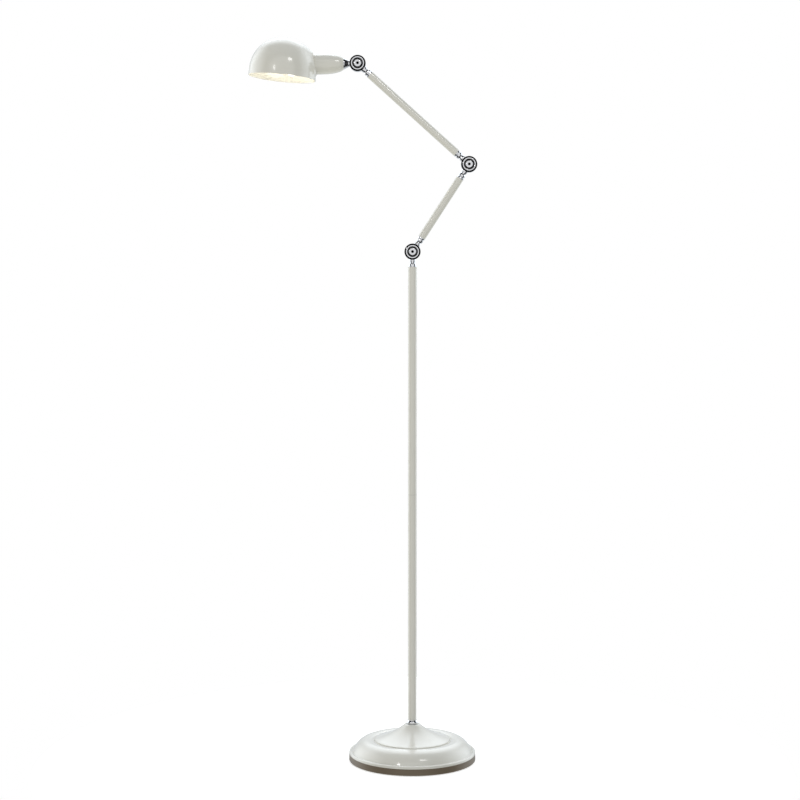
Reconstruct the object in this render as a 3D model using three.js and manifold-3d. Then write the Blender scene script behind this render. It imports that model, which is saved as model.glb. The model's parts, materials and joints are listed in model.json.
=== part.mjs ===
// Adjustable arm floor lamp: a weighted round base, a two-piece pole, two jointed arms and a
// domed shade. Millimetres, +Z up. The origin is on the floor under the pole's centre line, the
// arms lie in the XZ plane, and -Y is the front, where the heads of the knuckle bolts are.

import * as THREE from "three";
import { mergeVertices } from "three/addons/utils/BufferGeometryUtils.js";
import Module from "manifold-3d";

const wasm = await Module();
wasm.setup();

// ---------------------------------------------------------------- driving dimensions

const FIT = 0.3; // gap between pieces that touch
const SHEET = 1.2; // wall of the pressed covers

const BASE_R = 135;
const PAD_R = 125.5;
const PAD_H = 2.9;
const PLATE_LIFT = 1.2; // the pad stands this far proud of the weight plate
const PLATE_TOP = 14.6;
const COVER_TOP = 77.5; // where the pole's collar stands on the base cover
const GROOVE_R = 81; // the ring pressed into the base cover

const NIPPLE_R = 5; // the threaded tube that ties the stand together
const NIPPLE_TOP = 108;
const POLE_R = 9.5;
const POLE_WALL = 1;
const POLE_FOOT = 80.6;
const POLE_JOINT = 570; // the two pole sections are screwed together here
const POLE_TOP = 1052;

const ARM_R = 8;
const ARM_WALL = 1;
const LOWER_ARM = 218; // knuckle centre to knuckle centre
const UPPER_ARM = 314;

const KNUCKLE_Z = 1084; // height of the lowest knuckle
const KNUCKLE_R = 17;
const HALF_THICK = 10.2; // mid-plane to front face
const MATE_GAP = 0.6; // mid-plane to each half's mating face
const RECESS_R = 11.4; // the counterbore that holds the bolt's head
const RECESS_FLOOR = 6.6;
const BOLT_R = 4;
const STEM_R = 5.2;
const STEM_END = 33; // how far an arm's stem reaches from the knuckle's centre
const WIRE_R = 2.8; // wire hole along each stem
const TUBE_START = 35.3; // where an arm's tube starts, from the knuckle's centre

const LOWER_LEAN = 33; // degrees from upright, to the right
const ELBOW_BEND = -81.1; // upper arm against lower arm
const HEAD_BEND = -43.1; // head against upper arm

const SEAM = 89.3; // knuckle centre to the joint between barrel and shade
const SEAM_TILT = 9; // degrees; the joint is mitred
const BARREL_R = 21.1;
const BARREL_END = 29.3;
const DOME_R = 70;
const DOME_OUT = 157.4; // dome centre from the head's knuckle, along the barrel
const DOME_DROP = 13.1; // dome centre below the barrel's axis
const DOME_TILT = 6.6; // degrees between the barrel's axis and the rim's plane
const SKIRT = 13.3; // straight wall below the dome's centre
const BULB_R = 22.5;
const BULB_CENTRE = 137;

// Sides of the round pieces, by size.
const WIDE = 32;
const ROUND = 18;
const SMALL = 14;
const THIN = 10;

// ---------------------------------------------------------------- materials

const paint = new THREE.MeshStandardMaterial({ color: 0xe9e8e0, roughness: 0.25, metalness: 0 });
const chrome = new THREE.MeshStandardMaterial({ color: 0xc9ccd0, roughness: 0.08, metalness: 1 });
const steel = new THREE.MeshStandardMaterial({ color: 0x9a9c9e, roughness: 0.35, metalness: 1 });
const blackSteel = new THREE.MeshStandardMaterial({ color: 0x1c1c1d, roughness: 0.4, metalness: 0.8 });
const castIron = new THREE.MeshStandardMaterial({ color: 0x6c5f4e, roughness: 0.5, metalness: 0.3 });
const brass = new THREE.MeshStandardMaterial({ color: 0xc2a35a, roughness: 0.3, metalness: 1 });
const rubber = new THREE.MeshStandardMaterial({ color: 0x2a2a2a, roughness: 0.9, metalness: 0 });
const fibre = new THREE.MeshStandardMaterial({ color: 0x3a3632, roughness: 0.8, metalness: 0 });
const ceramic = new THREE.MeshStandardMaterial({ color: 0xf1eee6, roughness: 0.4, metalness: 0 });
const insulation = new THREE.MeshStandardMaterial({ color: 0xe8e8e8, roughness: 0.6, metalness: 0 });
const frosted = new THREE.MeshStandardMaterial({ color: 0xfff6df, roughness: 0.6, metalness: 0 });

// ---------------------------------------------------------------- shape helpers

// A solid of revolution about Z from [radius, height] pairs. The outline starts and ends on the
// axis, or its last point is joined to its first.
function turned(outline, sides) {
  const points = outline.map(([radius, height]) => new THREE.Vector2(radius, height));
  const first = points[0];
  const last = points[points.length - 1];
  if (first.x > 0 || last.x > 0) {
    points.push(first.clone());
  }
  if (THREE.ShapeUtils.area(points) < 0) {
    points.reverse();
  }
  return new THREE.LatheGeometry(points, sides).rotateX(Math.PI / 2);
}

// A ring or a washer: a tube between two radii and two heights.
function ring(innerR, outerR, low, high, sides) {
  return turned([[innerR, low], [outerR, low], [outerR, high], [innerR, high]], sides);
}

function rod(radius, low, high, sides) {
  return turned([[0, low], [radius, low], [radius, high], [0, high]], sides);
}

// Points of a quadratic curve between two [radius, height] points.
function bend(start, pull, end, steps) {
  const corners = [start, pull, end].map(([x, y]) => new THREE.Vector2(x, y));
  const curve = new THREE.QuadraticBezierCurve(...corners);
  return curve.getPoints(steps).map((point) => [point.x, point.y]);
}

// Points of an arc about [radius, height], from one angle to another in degrees.
function arc([centreR, centreH], radius, from, to, steps) {
  return Array.from({ length: steps + 1 }, (_, step) => {
    const angle = THREE.MathUtils.degToRad(from + ((to - from) * step) / steps);
    return [centreR + radius * Math.cos(angle), centreH + radius * Math.sin(angle)];
  });
}

// The closed outline of a sheet: a path that climbs the outside, and the same path moved inwards
// by the wall.
function sheet(path, wall) {
  const inner = path.map(([r, h], index) => {
    const before = path[Math.max(index - 1, 0)];
    const after = path[Math.min(index + 1, path.length - 1)];
    const run = Math.hypot(after[0] - before[0], after[1] - before[1]);
    const moved = r + (wall * (before[1] - after[1])) / run;
    return [r === 0 ? 0 : moved, h + (wall * (after[0] - before[0])) / run];
  });
  return [...path, ...inner.reverse()];
}

// Turns a shape made about Z so that its axis runs along -Y, out of a knuckle's front face.
function facingFront(geometry) {
  return geometry.rotateX(Math.PI / 2);
}

function solid(geometry) {
  const bare = geometry.clone();
  bare.deleteAttribute("normal");
  bare.deleteAttribute("uv");
  const merged = mergeVertices(bare, 1e-4);
  const corners = Array.from(merged.index.array);
  const kept = [];
  for (let i = 0; i < corners.length; i += 3) {
    const [a, b, c] = corners.slice(i, i + 3);
    if (a !== b && b !== c && c !== a) {
      kept.push(a, b, c);
    }
  }
  const vertProperties = new Float32Array(merged.attributes.position.array);
  const triVerts = new Uint32Array(kept);
  return new wasm.Manifold(new wasm.Mesh({ numProp: 3, vertProperties, triVerts }));
}

function surface(body) {
  const mesh = body.getMesh();
  const geometry = new THREE.BufferGeometry();
  geometry.setAttribute("position", new THREE.BufferAttribute(mesh.vertProperties, 3));
  geometry.setIndex(new THREE.BufferAttribute(mesh.triVerts, 1));
  geometry.computeVertexNormals();
  return geometry;
}

function add(group, name, geometry, material, { at = [0, 0, 0], turn = [0, 0, 0] } = {}) {
  const mesh = new THREE.Mesh(geometry, material);
  mesh.name = name;
  mesh.position.set(...at);
  mesh.rotation.set(...turn);
  group.add(mesh);
}

// A hexagonal nut about Z with a round hole.
function hexNut(cornerR, holeR, low, high) {
  const corners = Array.from({ length: 6 }, (_, side) => {
    const angle = (side * Math.PI) / 3;
    return new THREE.Vector2(cornerR * Math.cos(angle), cornerR * Math.sin(angle));
  });
  const shape = new THREE.Shape(corners);
  shape.holes.push(new THREE.Path().absarc(0, 0, holeR, 0, 2 * Math.PI, true));
  const options = { depth: high - low, bevelEnabled: false, curveSegments: THIN };
  return new THREE.ExtrudeGeometry(shape, options).translate(0, 0, low);
}

// ---------------------------------------------------------------- stand

const GLAND_Z = 8.2;
const GLAND_HOLE_R = 4.4;
const GLAND_DEPTH = 16; // how far the gland's hole runs in from the plate's edge

function weightPlate() {
  const nutPocketR = 14;
  const nutPocketTop = 9.3;
  const padRecessR = PAD_R + 1;
  const padRecessTop = PAD_H + FIT;
  const plate = turned(
    [
      [NIPPLE_R + 0.4, nutPocketTop],
      [nutPocketR, nutPocketTop],
      [nutPocketR, padRecessTop],
      [padRecessR, padRecessTop],
      [padRecessR, PLATE_LIFT],
      [BASE_R - 0.8, PLATE_LIFT],
      [BASE_R, PLATE_LIFT + 0.8],
      [BASE_R, PLATE_TOP - 0.8],
      [BASE_R - 0.8, PLATE_TOP],
      [NIPPLE_R + 0.4, PLATE_TOP],
    ],
    WIDE,
  );
  const along = rod(GLAND_HOLE_R, BASE_R - GLAND_DEPTH, BASE_R + 5, THIN);
  along.rotateX(-Math.PI / 2).translate(0, 0, GLAND_Z);
  const rise = rod(GLAND_HOLE_R, GLAND_Z, PLATE_TOP + 1, THIN);
  rise.translate(0, BASE_R - GLAND_DEPTH, 0);
  return surface(solid(plate).subtract(solid(along)).subtract(solid(rise)));
}

function baseCover() {
  const outside = [
    [BASE_R, PLATE_TOP + FIT],
    [BASE_R, 17.7],
    [132.8, 20.1],
    [128.4, 18.7],
    ...bend([127.4, 19.3], [117, 43], [96, 45], 4),
    [88, 44.5],
    [GROOVE_R + 1.6, 42.7],
    [GROOVE_R - 0.6, 41.8],
    ...bend([GROOVE_R - 1.2, 45.2], [40, 57], [17.4, 76], 5),
    [15.8, COVER_TOP],
    [NIPPLE_R + 0.5, COVER_TOP],
  ];
  const inside = [
    [NIPPLE_R + 0.5, COVER_TOP - SHEET],
    [14.8, COVER_TOP - SHEET],
    ...bend([16, 74.4], [39, 55.2], [GROOVE_R - 2.5, 43.8], 3),
    [GROOVE_R - 1.8, 40.2],
    [88, 43],
    [96, 43.6],
    [116, 35.4],
    [127, 16.9],
    [BASE_R - SHEET, 16.9],
    [BASE_R - SHEET, PLATE_TOP + FIT],
  ];
  return turned([...outside, ...inside], WIDE);
}

function poleCollar() {
  const web = POLE_FOOT - FIT;
  return turned(
    [
      [NIPPLE_R + 0.5, COVER_TOP + FIT],
      [11.6, COVER_TOP + FIT],
      [12.8, COVER_TOP + 2],
      [12.9, 82.4],
      [12, 85],
      [10.8, 86.3],
      [POLE_R + 0.4, 86.3],
      [POLE_R + 0.4, web],
      [NIPPLE_R + 0.5, web],
    ],
    ROUND,
  );
}

function cordGland() {
  return turned(
    [
      [3, BASE_R - GLAND_DEPTH + 6],
      [4, BASE_R - GLAND_DEPTH + 6],
      [4, BASE_R + 0.4],
      [6.2, BASE_R + 0.4],
      [6.2, BASE_R + 1.6],
      [5, BASE_R + 3.4],
      [3, BASE_R + 3.4],
    ],
    THIN,
  ).rotateX(-Math.PI / 2);
}

// The swivel: a flanged bush in the top of the pole, that the yoke's long stem turns in.
const SWIVEL_STEM = 60;
const BUSH_LOW = POLE_TOP - 22;
const BUSH_TOP = POLE_TOP + 1.5;

function swivelBush() {
  return turned(
    [
      [STEM_R + 0.3, BUSH_LOW],
      [POLE_R - POLE_WALL - 0.3, BUSH_LOW],
      [POLE_R - POLE_WALL - 0.3, POLE_TOP + FIT],
      [POLE_R - 0.1, POLE_TOP + FIT],
      [POLE_R - 0.1, BUSH_TOP],
      [STEM_R + 0.3, BUSH_TOP],
    ],
    SMALL,
  );
}

function swivelCollar() {
  return turned(
    [
      [STEM_R + 0.3, BUSH_TOP + FIT],
      [8.9, BUSH_TOP + FIT],
      [8.9, 1057.4],
      [7.6, 1059.4],
      [STEM_R + 0.3, 1059.4],
    ],
    ROUND,
  );
}

function stand() {
  const group = new THREE.Group();
  const bore = POLE_R - POLE_WALL;
  add(group, "floor_pad", rod(PAD_R, 0, PAD_H, WIDE), rubber);
  add(group, "weight_plate", weightPlate(), castIron);
  add(group, "base_cover", baseCover(), paint);
  add(group, "cord_gland", cordGland(), rubber, { at: [0, 0, GLAND_Z] });
  add(group, "base_nipple", ring(3.2, NIPPLE_R, 3.5, NIPPLE_TOP, THIN), steel);
  add(group, "nipple_nut", hexNut(9, NIPPLE_R + 0.4, 3.6, 6.9), steel);
  add(group, "nipple_washer", ring(NIPPLE_R + 0.4, 12.5, 7.2, 9, SMALL), steel);
  add(group, "pole_collar", poleCollar(), chrome);
  add(group, "pole_foot_plug", ring(NIPPLE_R + 0.4, bore - 0.3, 84, 106, SMALL), steel);
  add(group, "lower_pole", ring(bore, POLE_R, POLE_FOOT, POLE_JOINT - 0.15, ROUND), paint);
  add(group, "pole_coupler", ring(5.5, bore - 0.3, POLE_JOINT - 25, POLE_JOINT + 25, SMALL), steel);
  add(group, "upper_pole", ring(bore, POLE_R, POLE_JOINT + 0.15, POLE_TOP, ROUND), paint);
  add(group, "swivel_bush", swivelBush(), chrome);
  add(group, "pole_lead", rod(2, 17, BUSH_LOW - 12, 8), insulation);
  return group;
}

// ---------------------------------------------------------------- knuckles

// One half of a knuckle: a hollow disc in front of the mid-plane, and a round stem on the
// mid-plane that reaches along +Z. Turned half round about Z it is the other half.
function knuckleHalf(stemEnd) {
  const boreR = BOLT_R + 0.3;
  const disc = facingFront(
    turned(
      [
        [boreR, RECESS_FLOOR],
        [RECESS_R, RECESS_FLOOR],
        [RECESS_R, HALF_THICK],
        [14.2, HALF_THICK],
        [KNUCKLE_R, 7.2],
        [KNUCKLE_R, MATE_GAP],
        [13.2, MATE_GAP],
        [13.2, 4.2],
        [6.6, 4.2],
        [6.6, MATE_GAP],
        [boreR, MATE_GAP],
      ],
      ROUND,
    ),
  );
  const stem = turned(
    [[0, 14], [6.8, 14], [6.6, 17.5], [STEM_R, 23], [STEM_R, stemEnd], [0, stemEnd]],
    THIN,
  );
  const otherHalf = facingFront(rod(KNUCKLE_R + 0.5, -20, MATE_GAP + 0.3, ROUND));
  const wireHole = rod(WIRE_R, 9, stemEnd + 1, 8);
  const casting = solid(disc).add(solid(stem).subtract(solid(otherHalf)));
  return surface(casting.subtract(solid(wireHole)));
}

function frictionWasher() {
  return facingFront(ring(13.6, 16.6, -MATE_GAP + FIT, MATE_GAP - FIT, ROUND));
}

// The blackened spring washer that fills the counterbore under the bolt's head.
function springWasher() {
  const low = RECESS_FLOOR + FIT;
  return facingFront(ring(BOLT_R + 0.4, RECESS_R - 0.4, low, low + 0.8, SMALL));
}

const BOLT_SEAT = RECESS_FLOOR + 1.4;

function knuckleBolt() {
  const bolt = turned(
    [
      [0, -10.8],
      [BOLT_R, -10.8],
      [BOLT_R, BOLT_SEAT],
      [8.2, BOLT_SEAT],
      [8.2, BOLT_SEAT + 1.5],
      [7, BOLT_SEAT + 2.7],
      [4.6, BOLT_SEAT + 3.4],
      [0, BOLT_SEAT + 3.5],
    ],
    SMALL,
  );
  const hexKey = rod(2.9, BOLT_SEAT + 0.9, BOLT_SEAT + 5, 6);
  return facingFront(surface(solid(bolt).subtract(solid(hexKey))));
}

function knuckleNut() {
  return facingFront(hexNut(7.5, BOLT_R + 0.3, -10.2, -RECESS_FLOOR - FIT));
}

// The bolt, nut and washers of one knuckle, at a height along the group's Z.
function addFasteners(group, knuckle, height) {
  const place = { at: [0, 0, height] };
  add(group, `${knuckle}_bolt`, knuckleBolt(), chrome, place);
  add(group, `${knuckle}_spring_washer`, springWasher(), blackSteel, place);
  add(group, `${knuckle}_friction_washer`, frictionWasher(), fibre, place);
  add(group, `${knuckle}_nut`, knuckleNut(), chrome, place);
}

// ---------------------------------------------------------------- swivel and arms

// The chrome ferrule between a stem and a tube, with a spigot inside the tube.
function ferrule() {
  const spigotR = ARM_R - ARM_WALL - 0.3;
  const shoulder = TUBE_START - FIT;
  return turned(
    [
      [STEM_R + 0.3, 24],
      [6.2, 24],
      [7.5, 27],
      [7.5, 30.2],
      [6.2, 30.6],
      [6.2, 32.3],
      [ARM_R, 32.7],
      [ARM_R, shoulder],
      [spigotR, shoulder],
      [spigotR, shoulder + 10],
      [STEM_R + 0.3, shoulder + 10],
    ],
    SMALL,
  );
}

function swivel() {
  const group = new THREE.Group();
  const atKnuckle = { at: [0, 0, KNUCKLE_Z], turn: [0, Math.PI, 0] };
  const nutTop = BUSH_LOW - FIT;
  add(group, "swivel_yoke", knuckleHalf(SWIVEL_STEM), chrome, atKnuckle);
  add(group, "swivel_collar", swivelCollar(), chrome);
  add(group, "swivel_nut", ring(STEM_R + 0.3, 7.6, nutTop - 4.5, nutTop, SMALL), steel);
  addFasteners(group, "lower_knuckle", KNUCKLE_Z);
  return group;
}

// An arm along +Z: the back half of the knuckle below it, a tube between two ferrules, and the
// front half of the knuckle above it, with that knuckle's bolt.
function arm(names, length) {
  const group = new THREE.Group();
  const upsideDown = { at: [0, 0, length], turn: [0, Math.PI, 0] };
  const wireStart = 19;
  add(group, names.back, knuckleHalf(STEM_END), chrome, { turn: [0, 0, Math.PI] });
  add(group, `${names.arm}_foot_ferrule`, ferrule(), chrome);
  const tube = ring(ARM_R - ARM_WALL, ARM_R, TUBE_START, length - TUBE_START, ROUND);
  add(group, `${names.arm}_tube`, tube, paint);
  add(group, `${names.arm}_head_ferrule`, ferrule(), chrome, upsideDown);
  add(group, names.front, knuckleHalf(STEM_END), chrome, upsideDown);
  addFasteners(group, names.knuckle, length);
  add(group, `${names.arm}_lead`, rod(1.8, wireStart, length - wireStart, 8), insulation);
  return group;
}

// ---------------------------------------------------------------- head

// In the head's group the barrel's axis is +Z, away from the knuckle, and +X is up.

// A block that fills everything past the mitred seam, on the shade's side or the barrel's.
function beyondSeam(side, gap) {
  const size = 400;
  const block = new THREE.BoxGeometry(size, size, size);
  block.translate(0, 0, side * (size / 2 + gap));
  block.rotateY(-THREE.MathUtils.degToRad(SEAM_TILT));
  return solid(block.translate(0, 0, SEAM));
}

function barrel() {
  const path = [
    [STEM_R + 0.4, BARREL_END],
    [11.8, BARREL_END],
    ...bend([12.6, BARREL_END + 0.4], [19.2, 38], [BARREL_R - 0.3, 60], 5),
    [BARREL_R + 0.2, 78],
    [BARREL_R + 0.2, SEAM + 10],
  ];
  return surface(solid(turned(sheet(path, SHEET), ROUND)).subtract(beyondSeam(1, -FIT)));
}

// Places a shape made about Z so that its axis is the dome's and its origin the dome's centre.
function aboutDome(geometry) {
  geometry.rotateY(THREE.MathUtils.degToRad(90 + DOME_TILT));
  return solid(geometry.translate(-DOME_DROP, 0, DOME_OUT));
}

// A dome and its straight skirt. The wall is taken off all round, and the skirt goes on
// downwards by the extra length.
function domeBlank(wall, extra) {
  const radius = DOME_R - wall;
  const low = -SKIRT - extra;
  const outline = [[0, low], [radius + 0.8, low], ...arc([0, 0], radius, 0, 90, 6)];
  outline[outline.length - 1][0] = 0;
  return aboutDome(turned(outline, WIDE));
}

const NECK_R = 19.7; // the spigot that the barrel is pushed onto
const NECK_BACK = 80;
const NECK_FLANGE = 96;
const HOLDER_HOLE_R = 17.5;

function shade() {
  const fairing = turned(
    [[0, 78], [BARREL_R, 78], ...bend([BARREL_R, 85], [24.5, 92.5], [41, 112], 3), [0, 122]],
    ROUND,
  );
  const fairingInside = turned(
    [[0, 94.5], [25.2, 94.5], ...bend([26.6, 97.5], [29, 101], [39.2, 112], 2), [0, 125]],
    ROUND,
  );
  const aboveRim = aboutDome(rod(2 * DOME_R, -SKIRT, 2 * DOME_R, 16));
  const blank = domeBlank(0, 0).add(solid(fairing).intersect(aboveRim));
  const outside = blank.subtract(beyondSeam(-1, 0));
  const inside = domeBlank(SHEET, 4).add(solid(fairingInside));
  const neckHole = solid(rod(NECK_R - 0.6, 70, 130, ROUND));
  const neck = turned(
    [
      [NECK_R - 1.2, NECK_BACK],
      [NECK_R, NECK_BACK],
      [NECK_R, NECK_FLANGE + 1.2],
      [HOLDER_HOLE_R, NECK_FLANGE + 1.2],
      [HOLDER_HOLE_R, NECK_FLANGE],
      [NECK_R - 1.2, NECK_FLANGE],
    ],
    ROUND,
  );
  return surface(outside.subtract(inside).subtract(neckHole).add(solid(neck)));
}

function lampholder() {
  return turned(
    [
      [4, 50],
      [12, 50],
      [14.5, 54],
      [14.5, 66],
      [17, 68],
      [17, 91],
      [NECK_R - 1.5, 91],
      [NECK_R - 1.5, NECK_FLANGE - FIT],
      [17, NECK_FLANGE - FIT],
      [17, 106],
      [14.7, 106],
      [14.7, 73],
      [4, 73],
    ],
    ROUND,
  );
}

function bulbCap() {
  return turned(
    [[0, 76], [4, 76], [5, 78], [11.5, 80], [13.1, 82], [13.1, 106], [0, 106]],
    SMALL,
  );
}

function bulbGlass() {
  const path = [
    [13.1, 106.4],
    [13.4, 111],
    ...arc([0, BULB_CENTRE], BULB_R, -50, 90, 6),
  ];
  path[path.length - 1][0] = 0;
  return turned(sheet(path, 0.8), SMALL);
}

function headConnector() {
  return turned(
    [
      [STEM_R + 0.4, 23],
      [6.6, 19.4],
      [7.4, 19.4],
      [9, 22.5],
      [11.6, 28],
      [11.6, BARREL_END - FIT],
      [STEM_R + 0.4, BARREL_END - FIT],
    ],
    ROUND,
  );
}

const HEAD_STEM = 40;

function head() {
  const group = new THREE.Group();
  const wallInside = BARREL_END + SHEET;
  add(group, "head_yoke", knuckleHalf(HEAD_STEM), chrome, { turn: [0, 0, Math.PI] });
  add(group, "head_connector", headConnector(), chrome);
  add(group, "head_washer", ring(STEM_R + 0.3, 9.8, wallInside + FIT, wallInside + 1.5, SMALL), fibre);
  add(group, "head_nut", hexNut(9, STEM_R + 0.4, wallInside + 1.8, wallInside + 5.8), steel);
  add(group, "head_lead", rod(1.8, 19, 49, 8), insulation);
  add(group, "barrel", barrel(), paint);
  add(group, "shade", shade(), paint);
  add(group, "shade_ring", ring(17.4, 22.5, NECK_FLANGE + 1.5, NECK_FLANGE + 6, ROUND), ceramic);
  add(group, "lampholder", lampholder(), ceramic);
  add(group, "lampholder_shell", ring(13.5, 14.3, 77, 103, ROUND), brass);
  add(group, "centre_contact", rod(3.5, 73.4, 75.6, 12), brass);
  add(group, "bulb_cap", bulbCap(), steel);
  add(group, "bulb_glass", bulbGlass(), frosted);
  return group;
}

// ---------------------------------------------------------------- assembly

const lamp = new THREE.Group();
lamp.add(stand());
lamp.add(swivel());

const lowerArm = arm(
  { arm: "lower_arm", back: "lower_knuckle_back", front: "elbow_front", knuckle: "elbow" },
  LOWER_ARM,
);
lowerArm.position.z = KNUCKLE_Z;
lowerArm.rotation.y = THREE.MathUtils.degToRad(LOWER_LEAN);
lamp.add(lowerArm);

const upperArm = arm(
  { arm: "upper_arm", back: "elbow_back", front: "head_knuckle_front", knuckle: "head_knuckle" },
  UPPER_ARM,
);
upperArm.position.z = LOWER_ARM;
upperArm.rotation.y = THREE.MathUtils.degToRad(ELBOW_BEND);
lowerArm.add(upperArm);

const lampHead = head();
lampHead.position.z = UPPER_ARM;
lampHead.rotation.y = THREE.MathUtils.degToRad(HEAD_BEND);
upperArm.add(lampHead);

export default lamp;
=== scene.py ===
# Adjustable arm floor lamp: the visible surfaces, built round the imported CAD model.
# Outlines are in millimetres and are scaled to metres as a mesh is made. +Z is up, the arms lie
# in the XZ plane, and -Y is the front, where the heads of the knuckle bolts are.

import json
import math

import bmesh
import bpy
import numpy as np
from mathutils import Matrix, Vector

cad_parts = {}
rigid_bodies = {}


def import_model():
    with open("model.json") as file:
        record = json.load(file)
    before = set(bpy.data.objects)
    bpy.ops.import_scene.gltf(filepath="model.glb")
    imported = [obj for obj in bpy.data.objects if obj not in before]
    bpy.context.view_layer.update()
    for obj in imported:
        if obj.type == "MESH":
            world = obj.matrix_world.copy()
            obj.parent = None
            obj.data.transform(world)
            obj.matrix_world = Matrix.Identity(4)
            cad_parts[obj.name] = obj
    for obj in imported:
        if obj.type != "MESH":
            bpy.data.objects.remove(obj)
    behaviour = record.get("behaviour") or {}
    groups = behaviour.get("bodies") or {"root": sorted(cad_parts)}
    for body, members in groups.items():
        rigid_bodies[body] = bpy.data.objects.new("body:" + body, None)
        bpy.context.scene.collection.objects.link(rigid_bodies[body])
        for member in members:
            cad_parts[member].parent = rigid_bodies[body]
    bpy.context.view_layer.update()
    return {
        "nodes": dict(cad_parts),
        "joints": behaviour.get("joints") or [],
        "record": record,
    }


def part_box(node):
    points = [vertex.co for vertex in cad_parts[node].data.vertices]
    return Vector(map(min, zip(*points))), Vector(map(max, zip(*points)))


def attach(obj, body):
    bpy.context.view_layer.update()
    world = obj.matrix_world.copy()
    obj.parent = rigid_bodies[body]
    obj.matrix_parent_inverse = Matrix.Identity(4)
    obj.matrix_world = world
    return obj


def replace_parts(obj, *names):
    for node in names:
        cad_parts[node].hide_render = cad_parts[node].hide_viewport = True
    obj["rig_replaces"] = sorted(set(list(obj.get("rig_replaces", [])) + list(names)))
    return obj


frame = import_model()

MM = 0.001
BODY_OF = {
    node: body
    for body, nodes in frame["record"]["behaviour"]["bodies"].items()
    for node in nodes
}
SLOT_OF = {part["node"]: part["material_slot"] for part in frame["record"]["subparts"]}
JOINTS = {joint["name"]: joint for joint in frame["joints"]}

WIDE = 224  # sides of the base and the shade
ROUND = 96  # sides of tubes and knuckles
SMALL = 64  # sides of bolts, holes and the bulb's cap

# ------------------------------------------------------------------ places, from the frame


def span(node, axis):
    """Lowest and highest coordinate of a CAD node along an axis, in millimetres."""
    low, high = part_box(node)
    return low[axis] / MM, high[axis] / MM


def along(origin, direction):
    """The place of a shape made about +Z: its axis runs along direction, its -Y stays the front."""
    z = Vector(direction).normalized()
    y = Vector((0, 1, 0))
    return Matrix.Translation(origin) @ Matrix((y.cross(z), y, z)).transposed().to_4x4()


KNUCKLE_A = Vector(JOINTS["lower_knuckle"]["pos_m"])
KNUCKLE_B = Vector(JOINTS["elbow"]["pos_m"])
KNUCKLE_C = Vector(JOINTS["head_knuckle"]["pos_m"])
HEAD_AXIS = Vector(JOINTS["head_twist"]["axis"])
if HEAD_AXIS.x > 0:  # the head reaches towards -X, whichever way its joint turns
    HEAD_AXIS.negate()

UPRIGHT = Matrix.Identity(4)
SWIVEL = along(KNUCKLE_A, (0, 0, -1))
LOWER_ARM = along(KNUCKLE_A, KNUCKLE_B - KNUCKLE_A)
LOWER_ARM_BACK = along(KNUCKLE_B, KNUCKLE_A - KNUCKLE_B)
UPPER_ARM = along(KNUCKLE_B, KNUCKLE_C - KNUCKLE_B)
UPPER_ARM_BACK = along(KNUCKLE_C, KNUCKLE_B - KNUCKLE_C)
HEAD = along(KNUCKLE_C, HEAD_AXIS)
HALF_TURN = Matrix.Rotation(math.pi, 4, "Z")
FACING = Matrix.Rotation(math.pi / 2, 4, "X")  # a shape's +Z faces the front

# ------------------------------------------------------------------ outlines


def bend(start, pull, end, steps=12):
    """Points of a quadratic curve between two (radius, height) points."""
    points = []
    for step in range(steps + 1):
        t = step / steps
        weights = ((1 - t) ** 2, 2 * t * (1 - t), t * t)
        points.append(
            tuple(sum(w * p[i] for w, p in zip(weights, (start, pull, end))) for i in (0, 1))
        )
    return points


def arc(centre, radius, start, end, steps=12):
    """Points of an arc about a (radius, height) point, between two angles in degrees."""
    angles = [math.radians(start + (end - start) * step / steps) for step in range(steps + 1)]
    return [(centre[0] + radius * math.cos(a), centre[1] + radius * math.sin(a)) for a in angles]


def eased(outline, steps=4):
    """The outline with its (radius, height, ease) points rounded, over ease mm to either side."""
    flat = [Vector(point[:2]) for point in outline]
    made = []
    for index, point in enumerate(outline):
        here = flat[index]
        if len(point) == 2:
            made.append(tuple(here))
            continue
        before = flat[index - 1] - here
        after = flat[(index + 1) % len(flat)] - here
        start = here + before.normalized() * min(point[2], 0.49 * before.length)
        end = here + after.normalized() * min(point[2], 0.49 * after.length)
        made += bend(tuple(start), tuple(here), tuple(end), steps)
    return made


def sheet(path, wall):
    """A sheet's closed outline: a path that climbs the outside, and the same path moved inwards."""
    inner = []
    for index, (radius, height) in enumerate(path):
        before = path[max(index - 1, 0)]
        after = path[min(index + 1, len(path) - 1)]
        run = math.hypot(after[0] - before[0], after[1] - before[1])
        moved = radius + wall * (before[1] - after[1]) / run
        inner.append((0 if radius == 0 else moved, height + wall * (after[0] - before[0]) / run))
    return list(path) + inner[::-1]


# ------------------------------------------------------------------ solids

ON_AXIS = 1e-6  # a smaller radius is a point on the axis


def made_object(bm, name="shape"):
    """Turns a bmesh into an object in the scene, with its faces' normals outwards."""
    bmesh.ops.recalc_face_normals(bm, faces=bm.faces)
    mesh = bpy.data.meshes.new(name)
    bm.to_mesh(mesh)
    bm.free()
    obj = bpy.data.objects.new(name, mesh)
    bpy.context.scene.collection.objects.link(obj)
    return obj


def corner(ring, side):
    """A ring's vertex, counted round; a ring on the axis has only one."""
    return ring[side % len(ring)]


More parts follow.
